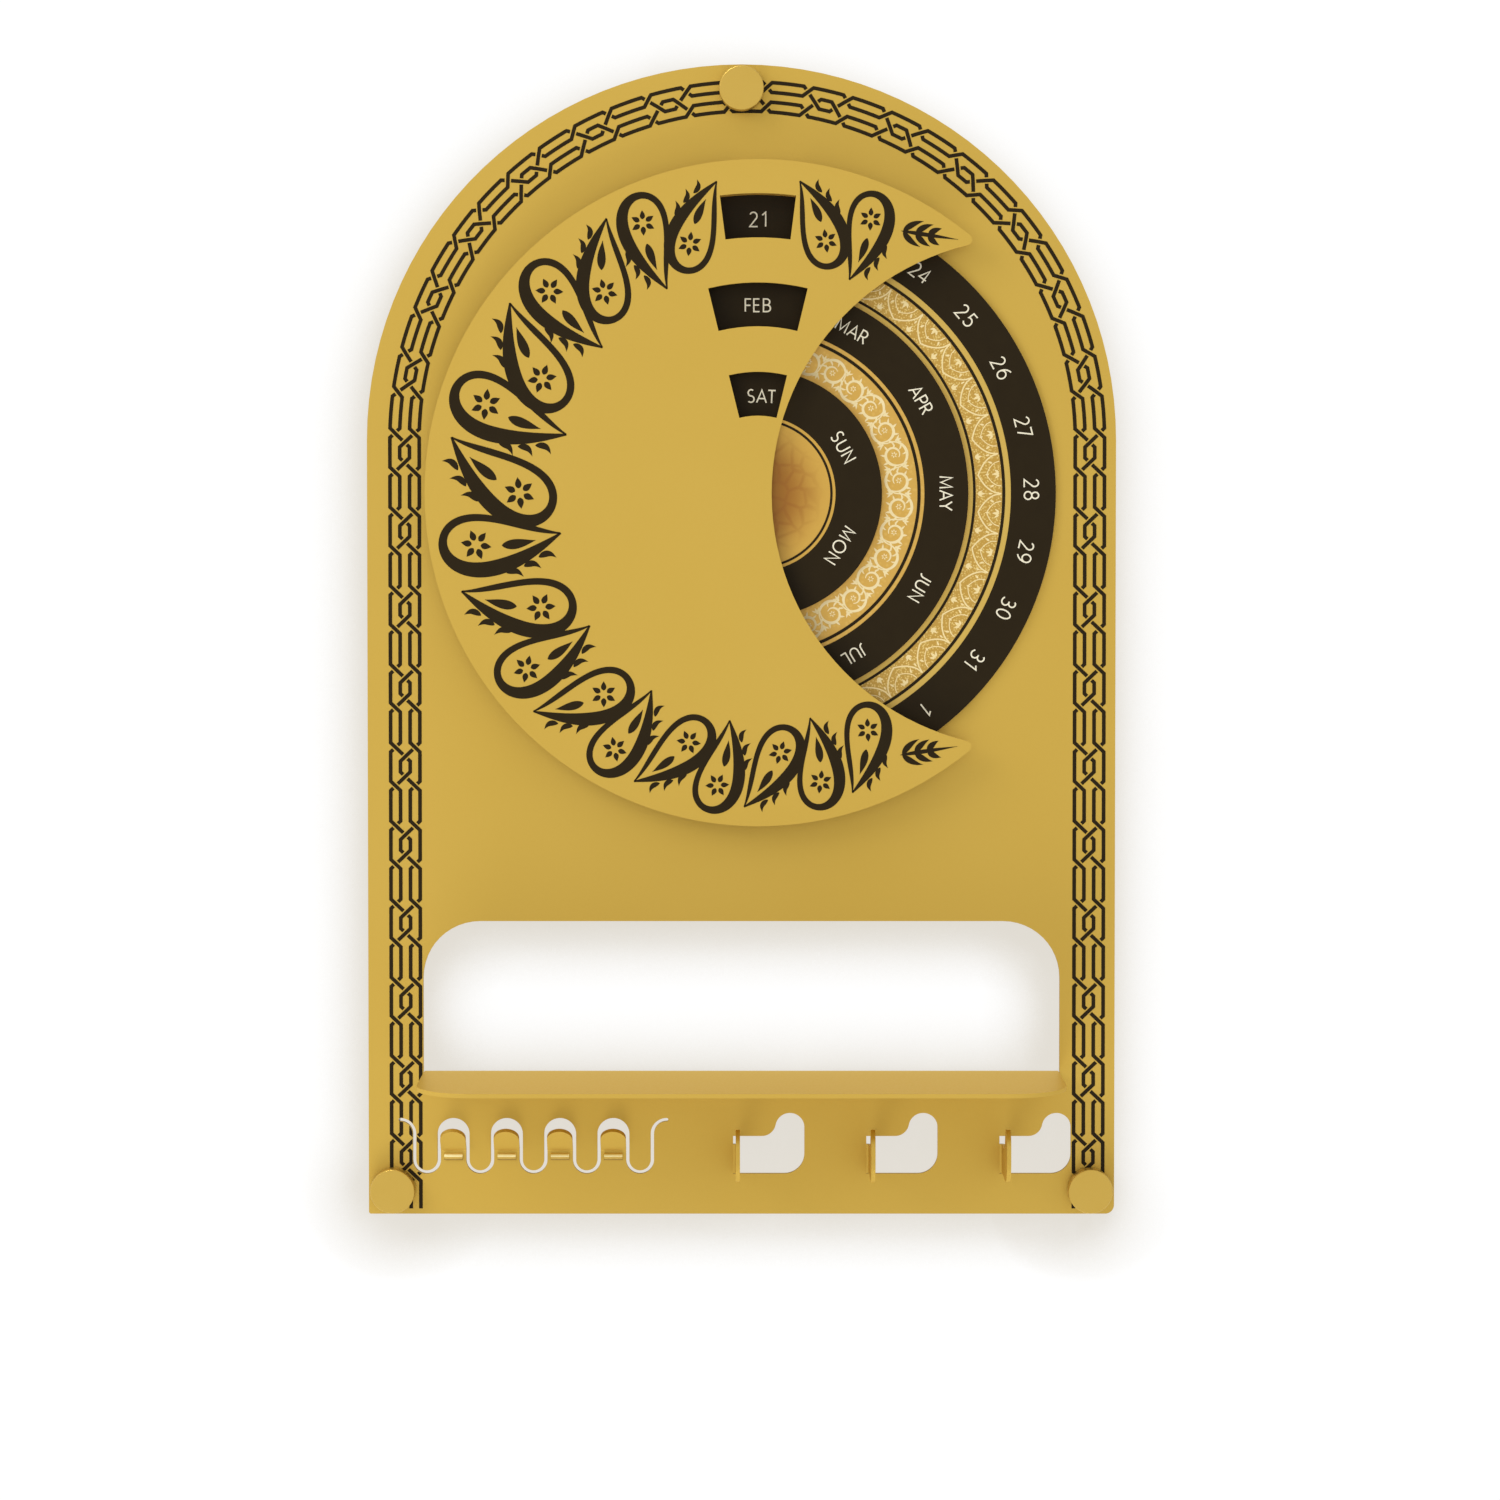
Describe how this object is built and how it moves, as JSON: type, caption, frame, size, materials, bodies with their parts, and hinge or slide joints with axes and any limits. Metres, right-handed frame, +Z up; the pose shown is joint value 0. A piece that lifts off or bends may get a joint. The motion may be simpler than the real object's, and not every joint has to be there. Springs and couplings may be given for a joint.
{
  "type": "wall calendar",
  "caption": "Arched sheet-metal wall calendar with turning date, month and weekday dials behind a crescent plate, a folded shelf and key hooks.",
  "frame": {"origin": "wall hole of the top stand-off, in the wall plane", "axes": "+Z up the wall, +X to the right seen from the front, +Y into the wall"},
  "size_m": [0.27, 0.0713, 0.415],
  "materials": {
    "gold_coat": "matt gold powder coat on sheet steel",
    "dial_coat": "matt gold coat on sheet steel, printed with black number bands and ornament rings",
    "gold_coat_turned": "satin gold coat on turned metal",
    "plated_steel": "bright zinc-plated steel",
    "clear_gasket": "milky clear soft plastic washer"
  },
  "bodies": {
    "panel": {"back_panel": "gold_coat", "hook_ledges": "gold_coat", "moon_plate": "gold_coat", "moon_studs": "plated_steel", "moon_spacers": "plated_steel", "moon_washers": "plated_steel", "moon_nuts": "plated_steel", "date_washer": "plated_steel", "month_washer": "plated_steel", "weekday_washer": "plated_steel", "wave_washer": "plated_steel", "pivot_pin": "plated_steel", "pivot_washer": "plated_steel", "pivot_nut": "plated_steel", "top_barrel": "gold_coat_turned", "top_rear_gasket": "clear_gasket", "top_front_gasket": "clear_gasket", "top_cap": "gold_coat_turned", "left_barrel": "gold_coat_turned", "left_rear_gasket": "clear_gasket", "left_front_gasket": "clear_gasket", "left_cap": "gold_coat_turned", "right_barrel": "gold_coat_turned", "right_rear_gasket": "clear_gasket", "right_front_gasket": "clear_gasket", "right_cap": "gold_coat_turned"},
    "date_dial": {"date_dial": "dial_coat"},
    "month_dial": {"month_dial": "dial_coat"},
    "weekday_dial": {"weekday_dial": "dial_coat"}
  },
  "joints": [
    {"name": "date_turn", "type": "hinge", "parent": "panel", "child": "date_dial", "pos_m": [0.0059, -0.0185, -0.1452], "axis": [0, -1, 0], "continuous": true},
    {"name": "month_turn", "type": "hinge", "parent": "panel", "child": "month_dial", "pos_m": [0.0059, -0.0185, -0.1452], "axis": [0, -1, 0], "continuous": true},
    {"name": "weekday_turn", "type": "hinge", "parent": "panel", "child": "weekday_dial", "pos_m": [0.0059, -0.0185, -0.1452], "axis": [0, -1, 0], "continuous": true}
  ]
}
